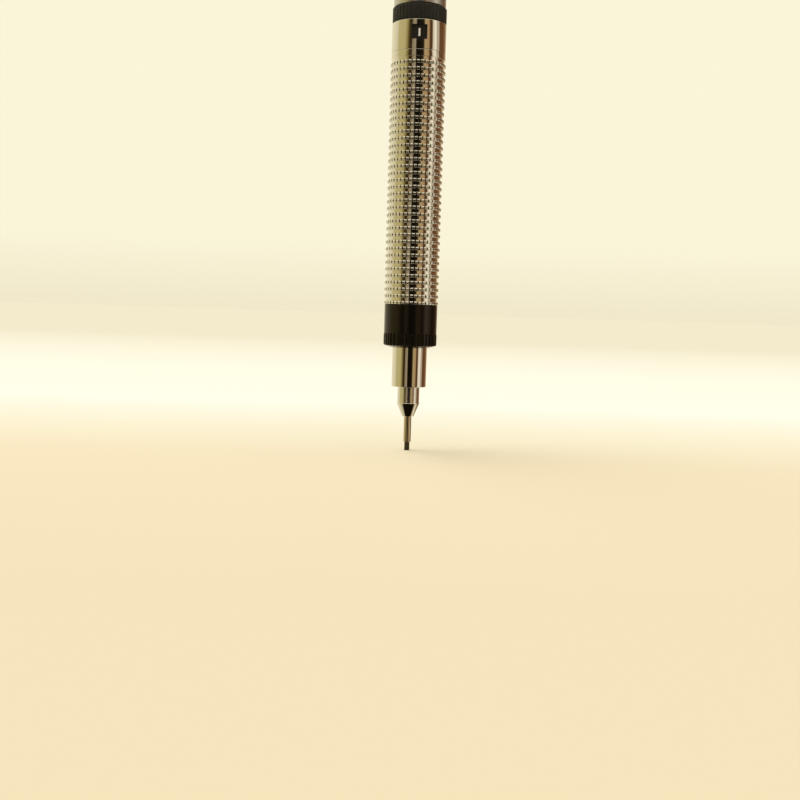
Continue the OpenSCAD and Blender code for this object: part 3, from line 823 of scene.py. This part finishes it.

# The same chrome, darkened by painted shade down in the slits between the studs of a row
grip_chrome, tree, shader, place = chrome_finish("grip_chrome", plating_haze)
clean = shader.inputs["Base Color"].links[0].from_socket
x, y, z = axes(tree, place)
from_axis = out_from_axis(tree, x, y)
deep = share_between(tree, from_axis, (land_r - 0.02) * MM, (land_r - 0.12) * MM)
round_the_grip = calc(tree, "MULTIPLY", calc(tree, "ARCTAN2", y, x), stud_columns / (2.0 * math.pi))
off_stud = calc(tree, "ABSOLUTE", calc(tree, "SUBTRACT", calc(tree, "FRACT", round_the_grip), 0.5))
in_slit = share_between(tree, off_stud, 0.17, 0.08)
up_the_rows = calc(tree, "DIVIDE", calc(tree, "SUBTRACT", z, grip_z * MM), knurl_pitch * MM)
in_row = calc(tree, "LESS_THAN", calc(tree, "FRACT", up_the_rows), land_h / knurl_pitch)
in_row = calc(tree, "MULTIPLY", in_row, calc(tree, "LESS_THAN", z, knurl_top * MM))
below_face = calc(tree, "GREATER_THAN", from_axis, (floor_r - 0.1) * MM)
on_studs = calc(tree, "MULTIPLY", in_row, below_face)
slit_painted_shade = calc(tree, "MULTIPLY", calc(tree, "MULTIPLY", deep, on_studs), in_slit)
# Painted shade: the chrome turns dark brown down in the slits, as a shadow there would darken it.
chrome_with_painted_shade = mixed(tree, calc(tree, "MULTIPLY", slit_painted_shade, 0.78), clean, (0.10, 0.080, 0.045, 1.0))
tree.links.new(chrome_with_painted_shade, shader.inputs["Base Color"])
off_floor = share_between(tree, from_axis, (floor_r + 0.02) * MM, (floor_r + 0.10) * MM)
worn = calc(tree, "MULTIPLY", off_floor, on_studs)
polish = shader.inputs["Roughness"].links[0].from_socket
uneven_roughness(tree, shader, worn, 0.20, polish)

grip = turned("grip_core", [
    (neck_r + slide_gap, grip_z, 0.0),
    (floor_r, grip_z, 0.02),
    (floor_r, knurl_top, 0.0),
    (plain_r, knurl_top, 0.08),
    (plain_r, grip_top, 0.06),
    (body_bore, grip_top, 0.0),
    (body_bore, body_bore_z, 0.0),
    (neck_r + slide_gap, body_bore_z, 0.0),
], grip_chrome, segments=256)

# One stud: levels, from its foot up, as (radius, half width, half height)
stud_levels = [
    (floor_r - 0.05, 0.330, 0.310),
    (floor_r + 0.07, 0.322, 0.300),
    (floor_r + 0.18, 0.305, 0.262),
    (land_r - 0.06, 0.275, 0.200),
    (land_r, 0.225, 0.110),
]
stud_mesh = bpy.data.meshes.new("stud")
stud_across = 4
stud_vertices, stud_faces = [], []
for r, half_w, half_h in stud_levels:
    for z in (-half_h, half_h):
        for k in range(stud_across + 1):
            swing = (2.0 * k / stud_across - 1.0) * half_w / r
            stud_vertices.append((r * MM * math.cos(swing), r * MM * math.sin(swing), z * MM))
row = stud_across + 1
top_level = (len(stud_levels) - 1) * 2 * row
for level in range(len(stud_levels) - 1):
    a, b = level * 2 * row, (level + 1) * 2 * row
    loop = list(range(row)) + list(range(2 * row - 1, row - 1, -1))
    for k, here in enumerate(loop):
        there = loop[(k + 1) % len(loop)]
        stud_faces.append((a + here, a + there, b + there, b + here))
for k in range(stud_across):
    for a in (k, top_level + k):
        stud_faces.append((a, a + 1, a + row + 1, a + row))
stud_mesh.from_pydata(stud_vertices, [], stud_faces)
stud = finished_mesh(stud_mesh, "stud", grip_chrome)

knurl_sizes = {
    "Stud": stud,
    "Columns": stud_columns,
    "Rows": knurl_rows,
    "Pitch": knurl_pitch * MM,
    "First Row": (grip_z + land_h / 2.0) * MM,
    "Material": grip_chrome,
}
knurling, given = node_tree("knurling", knurl_sizes)
knurl_points = knurling.nodes.new("GeometryNodePoints")
stud_count = calc(knurling, "MULTIPLY", given["Columns"], given["Rows"])
knurling.links.new(stud_count, knurl_points.inputs["Count"])
number = knurling.nodes.new("GeometryNodeInputIndex").outputs[0]
knurl_row = calc(knurling, "FLOOR", calc(knurling, "DIVIDE", number, given["Columns"]))
knurl_column = calc(knurling, "SUBTRACT", number, calc(knurling, "MULTIPLY", knurl_row, given["Columns"]))
stud_rise = calc(knurling, "MULTIPLY", knurl_row, given["Pitch"])
stud_height = calc(knurling, "ADD", stud_rise, given["First Row"])
stud_turns = calc(knurling, "DIVIDE", knurl_column, given["Columns"])
stud_bearing = calc(knurling, "MULTIPLY", stud_turns, 2.0 * math.pi)
stud_place = knurling.nodes.new("ShaderNodeCombineXYZ")
knurling.links.new(stud_height, stud_place.inputs["Z"])
stud_turn = knurling.nodes.new("ShaderNodeCombineXYZ")
knurling.links.new(stud_bearing, stud_turn.inputs["Z"])
placed = knurling.nodes.new("GeometryNodeSetPosition")
knurling.links.new(knurl_points.outputs[0], placed.inputs["Geometry"])
knurling.links.new(stud_place.outputs[0], placed.inputs["Position"])
stud_shape = knurling.nodes.new("GeometryNodeObjectInfo")
knurling.links.new(given["Stud"], stud_shape.inputs["Object"])
studs = knurling.nodes.new("GeometryNodeInstanceOnPoints")
knurling.links.new(placed.outputs["Geometry"], studs.inputs["Points"])
knurling.links.new(stud_shape.outputs["Geometry"], studs.inputs["Instance"])
knurling.links.new(stud_turn.outputs[0], studs.inputs["Rotation"])
both = knurling.nodes.new("GeometryNodeJoinGeometry")
knurling.links.new(studs.outputs["Instances"], both.inputs[0])
knurling.links.new(given["Geometry"], both.inputs[0])
closed_tree(knurling, both.outputs[0], given["Material"])
grown(grip, knurling, knurl_sizes)
bpy.data.objects.remove(stud)
grip.name = "knurled_grip"
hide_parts("grip")
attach(grip, "barrel")

# ---- Coupling ----
# Turned brass: its wide foot is screwed into the grip, and its neck into the barrel. The
# window collar and the lead-grade ring sit on the neck between the two.
dressed(brass, "coupling")

# ---- Window collar ----
# Chromed brass collar, pressed on the coupling's neck against the grip. A small window is
# sawn in its side, over the grade ring's scale.
collar_z, collar_top, collar_r = limits("window_collar")
scale_z, knob_top, knob_r = limits("grade_ring")
neck_bore = 3.325
scale_r = 4.05
web_top = collar_z + 0.675
window_half = 1.3
window_z = web_top + 0.9
window_h = 2.4
collar = turned("window_collar_chromed", [
    (neck_bore, collar_z, 0.0),
    (collar_r, collar_z, 0.05),
    (collar_r, collar_top, 0.08),
    (scale_r + slide_gap, collar_top, 0.0),
    (scale_r + slide_gap, web_top, 0.0),
    (neck_bore, web_top, 0.0),
], chrome, segments=192)
cut_away(collar, (-window_half, -collar_r - 1.0, window_z), (window_half, 0.0, window_z + window_h))
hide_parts("window_collar")
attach(collar, "barrel")

# ---- Grade ring ----
# Moulded black plastic. The fluted part is turned to bring one of the white marks on its
# narrow scale under the window, as a reminder of which lead is loaded.
plastic, tree, shader, place = bare_finish("black_plastic", 0.0, 0.42)
mould_grain = grain(tree, place, 5200.0, 3.0, 0.6)
tone = colours_along(tree, mould_grain, [(0.35, (0.010, 0.010, 0.010)), (0.75, (0.026, 0.025, 0.024))])
tree.links.new(tone, shader.inputs["Base Color"])
uneven_roughness(tree, shader, mould_grain, 0.2, 0.30)
relief(tree, shader, mould_grain, 0.2, 0.00001)

knob_z = knob_top - 2.45
grade_bore = 3.35
grade = turned("grade_ring_moulded", [
    (grade_bore, scale_z, 0.0),
    (scale_r, scale_z, 0.06),
    (scale_r, knob_z, 0.0),
    (knob_r, knob_z, 0.15),
    (knob_r, knob_top, 0.15),
    (grade_bore, knob_top, 0.0),
], plastic, segments=flute_count * 12)
knob_flutes = {
    "Flutes": float(flute_count),
    "Half Width": 0.30,
    "Depth": 0.13 * MM,
    "Floor Radius": (knob_r - 0.16) * MM,
    "Bottom": (knob_z - 0.01) * MM,
    "Top": (knob_top + 0.01) * MM,
    "Material": plastic,
}
grown(grade, fluted, knob_flutes)
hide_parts("grade_ring")
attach(grade, "grade")

# ---- Grade marks ----
# White ink printed on the grade ring's scale. Groups of one, two or three short bars stand
# for softer and harder leads, and the window shows one group at a time.
ink, tree, shader, place = bare_finish("white_ink", 0.0, 0.5)
ink_wear = grain(tree, place, 6000.0, 4.0, 0.7)
tone = colours_along(tree, ink_wear, [(0.30, (0.55, 0.54, 0.50)), (0.55, (0.86, 0.85, 0.82))])
tree.links.new(tone, shader.inputs["Base Color"])
relief(tree, shader, ink_wear, 0.3, 0.00001)
mark_vertices, mark_faces = [], []
mark_groups = 8
bar_pitch = 0.62
bar_half = 0.15
bar_low = window_z + 0.55
bar_high = window_z + 1.85
ink_depths = (scale_r - 0.01, scale_r + 0.015)
box_faces = ((0, 1, 3, 2), (4, 5, 7, 6), (0, 1, 5, 4), (2, 3, 7, 6), (0, 2, 6, 4), (1, 3, 7, 5))
for group in range(mark_groups):
    bars = group % 3 + 1
    middle = 2.0 * math.pi * group / mark_groups - math.pi / 2.0
    for bar in range(bars):
        centre = middle + (bar - (bars - 1) / 2.0) * bar_pitch / scale_r
        first = len(mark_vertices)
        for r in ink_depths:
            for z in (bar_low, bar_high):
                for swing in (-bar_half, bar_half):
                    angle = centre + swing / scale_r
                    mark_vertices.append((r * MM * math.cos(angle), r * MM * math.sin(angle), z * MM))
        for face in box_faces:
            mark_faces.append([first + corner for corner in face])
marks_mesh = bpy.data.meshes.new("grade_marks")
marks_mesh.from_pydata(mark_vertices, [], mark_faces)
marks = finished_mesh(marks_mesh, "grade_marks", ink)
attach(marks, "grade")

# ---- Lead tube ----
# Extruded clear plastic, slightly milky. It holds the spare leads, and joins the chuck's
# connector below to the sleeve that the cap presses on.
tube_plastic, tree, shader, place = bare_finish("milky_plastic", 0.0, 0.28)
haze = grain(tree, stretched(tree, place, (600.0, 600.0, 60.0)), 1.0, 3.0)
tone = mixed(tree, haze, (0.70, 0.71, 0.69, 1.0), (0.84, 0.85, 0.83, 1.0))
tree.links.new(tone, shader.inputs["Base Color"])
uneven_roughness(tree, shader, haze, 0.2, 0.18)
shader.inputs["Transmission Weight"].default_value = 0.55
dressed(tube_plastic, "lead_tube")

# ---- Barrel ----
# Drawn aluminium tube, turned, matt anodised in silver. Its narrow rear end carries the
# clip's band and the tail ring.
aluminium, tree, shader, place = bare_finish("silver_anodised", 1.0, 0.30)
cuts = lathe_lines(tree, place, 0.00009)
etch = grain(tree, place, 8000.0, 3.0, 0.6)
wear = grain(tree, place, 160.0, 3.0)
tone = mixed(tree, wear, (0.70, 0.70, 0.69, 1.0), (0.80, 0.80, 0.79, 1.0))
tree.links.new(tone, shader.inputs["Base Color"])
uneven_roughness(tree, shader, wear, 0.14, 0.24)
relief(tree, shader, calc(tree, "ADD", cuts, etch), 0.10, 0.000008)
shader.inputs["Anisotropic"].default_value = 0.4

barrel_z, barrel_top, barrel_r = limits("barrel")
_, clip_top, clip_reach = limits("clip")
band_z = clip_top - 3.9
rear_r = 3.95
barrel_bore = 3.35
barrel = turned("barrel_anodised", [
    (barrel_bore, barrel_z, 0.05),
    (barrel_r, barrel_z, 0.22),
    (barrel_r, band_z - fixed_gap, 0.10),
    (rear_r, band_z - fixed_gap, 0.0),
    (rear_r, barrel_top, 0.1),
    (barrel_bore, barrel_top, 0.0),
], aluminium, segments=192)
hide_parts("barrel")
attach(barrel, "barrel")

# ---- Tail bush ----
# White acetal, moulded, and pressed into the barrel's rear end. It guides the button, whose
# sleeve slides in it.
white_plastic, tree, shader, place = bare_finish("white_plastic", 0.0, 0.4)
flow = grain(tree, place, 1200.0, 3.0)
tone = mixed(tree, flow, (0.74, 0.73, 0.70, 1.0), (0.86, 0.86, 0.84, 1.0))
tree.links.new(tone, shader.inputs["Base Color"])
uneven_roughness(tree, shader, flow, 0.2, 0.3)
relief(tree, shader, flow, 0.1, 0.00001)
shader.inputs["Subsurface Weight"].default_value = 0.1
dressed(white_plastic, "tail_bush")

# ---- Pocket clip ----
# Spring steel, stamped, bent and chromed. Its band sits on the barrel's rear end. Its arm
# runs down the side, narrows, dips until it all but touches the barrel, and curls out.
clip_t = 0.7
arm_r = clip_reach - clip_t / 2.0
touch_r = barrel_r + 0.12 + clip_t / 2.0
arm_top = clip_top - clip_t / 2.0
bend_r = 1.6
foot_z = band_z - 31.0
arm_w = 3.4
end_w = 2.6
end_z = band_z - 37.5
dip_h = 4.2
curl_r = 2.2
curl_sweep = 56.0
bend_steps = 12
dip_steps = 20
rear_bore = rear_r + fixed_gap


def clip_path():
    """The arm's middle line as (radius, height) points, from the band to its free end."""
    path = [Vector((rear_r + 0.3, arm_top))]
    for k in range(bend_steps + 1):
        angle = math.radians(90.0 - 90.0 * k / bend_steps)
        path.append(Vector((arm_r - bend_r + bend_r * math.cos(angle),
                            arm_top - bend_r + bend_r * math.sin(angle))))
    straight_top = arm_top - bend_r
    for k in range(1, bend_steps):
        path.append(Vector((arm_r, straight_top + (foot_z - straight_top) * k / bend_steps)))
    for k in range(dip_steps):
        share = k / dip_steps
        drop = (arm_r - touch_r) * (1.0 - math.cos(math.pi * share)) / 2.0
        path.append(Vector((arm_r - drop, foot_z - dip_h * share)))
    for k in range(bend_steps + 1):
        angle = math.radians(180.0 + curl_sweep * k / bend_steps)
        path.append(Vector((touch_r + curl_r + curl_r * math.cos(angle),
                            foot_z - dip_h + curl_r * math.sin(angle))))
    return path


def arm_width(z):
    """The arm's width at height z: it narrows evenly, and its end is round."""
    share = min(max((z - end_z) / (clip_top - end_z), 0.0), 1.0)
    width = end_w + (arm_w - end_w) * share
    rise = z - end_z
    if rise < end_w / 2.0:
        width = 2.0 * math.sqrt(max((end_w / 2.0) ** 2 - (end_w / 2.0 - rise) ** 2, 0.01))
    return width


def strip_section(width, thickness, edge=0.14, steps=3):
    """Half-rounded rectangle across the strip, as (across, out) points."""
    points = []
    for sx, sy, start in ((1, 1, 0.0), (-1, 1, 90.0), (-1, -1, 180.0), (1, -1, 270.0)):
        for k in range(steps + 1):
            angle = math.radians(start + 90.0 * k / steps)
            points.append((sx * (width / 2.0 - edge) + edge * math.cos(angle),
                           sy * (thickness / 2.0 - edge) + edge * math.sin(angle)))
    return points


path = [p for p in clip_path() if p[1] > end_z + 0.06]
clip_vertices, clip_faces = [], []
for i, here in enumerate(path):
    ahead_of = path[min(i + 1, len(path) - 1)]
    behind = path[max(i - 1, 0)]
    along = (ahead_of - behind).normalized()
    outward = Vector((-along[1], along[0]))
    section = strip_section(arm_width(here[1]), clip_t)
    for across, out in section:
        r, z = here + outward * out
        clip_vertices.append((r * MM, across * MM, z * MM))
per_section = len(strip_section(arm_w, clip_t))
for i in range(len(path) - 1):
    for k in range(per_section):
        j = (k + 1) % per_section
        a, b = i * per_section, (i + 1) * per_section
        clip_faces.append((a + k, a + j, b + j, b + k))
clip_faces.append(tuple(range(per_section)))
clip_faces.append(tuple((len(path) - 1) * per_section + k for k in range(per_section)))
arm_mesh = bpy.data.meshes.new("clip_arm")
arm_mesh.from_pydata(clip_vertices, [], clip_faces)
clip = finished_mesh(arm_mesh, "pocket_clip", chrome)
band = turned("clip_band", [
    (rear_bore, band_z, 0.0),
    (barrel_r, band_z, 0.12),
    (barrel_r, clip_top, 0.12),
    (rear_bore, clip_top, 0.0),
], chrome, segments=192)
for part in (clip, band):
    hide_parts("clip")
    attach(part, "barrel")

# ---- Tail ring ----
# Black lacquered brass, screwed on the barrel's rear end behind the clip's band, which it
# holds in its place. The button passes through it.
tail_z, tail_top, tail_r = limits("tail_ring")
cap_z, cap_top, cap_r = limits("cap")
mouth_r = cap_r + 0.1
tail = turned("tail_ring_lacquered", [
    (rear_bore, tail_z, 0.0),
    (tail_r, tail_z, 0.1),
    (tail_r, tail_top, 0.5),
    (mouth_r, tail_top, 0.08),
    (mouth_r, barrel_top + 0.1, 0.0),
    (rear_bore, barrel_top + 0.1, 0.0),
], lacquer, segments=192, steps=6)
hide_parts("tail_ring")
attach(tail, "barrel")

# ---- Eraser ----
# White vinyl eraser in a moulded plastic cup, with the cleaning wire below. A little
# graphite has greyed it in patches.
eraser_rubber, tree, shader, place = bare_finish("white_eraser", 0.0, 0.75)
crumb = grain(tree, place, 1500.0, 4.0, 0.6)
smear = grain(tree, place, 350.0, 3.0, 0.6)
tone = colours_along(tree, smear, [(0.30, (0.52, 0.51, 0.49)), (0.55, (0.84, 0.82, 0.77))])
tree.links.new(tone, shader.inputs["Base Color"])
relief(tree, shader, crumb, 0.5, 0.00005)
eraser_z, eraser_top, eraser_r = limits("eraser")
eraser = turned("eraser_stick", [
    (0.0, eraser_z, 0.0),
    (eraser_r, eraser_z, 0.05),
    (eraser_r, eraser_top, 0.5),
    (0.0, eraser_top, 0.0),
], eraser_rubber, segments=96, steps=6)
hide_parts("eraser")
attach(eraser, "eraser")
dressed(white_plastic, "eraser_holder")

# ---- Cap ----
# A cup of drawn brass, chromed like the nose. It is pressed to feed the lead, and pulls off
# to bare the eraser.
cap_bore = 2.825
roof_z = cap_top - 1.6
cap = turned("cap_chromed", [
    (cap_bore, cap_z, 0.05),
    (cap_r, cap_z, 0.1),
    (cap_r, cap_top, 0.6),
    (0.0, cap_top, 0.0),
    (0.0, roof_z, 0.0),
    (cap_bore, roof_z, 0.0),
], chrome, segments=192, steps=8)
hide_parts("cap")
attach(cap, "cap")
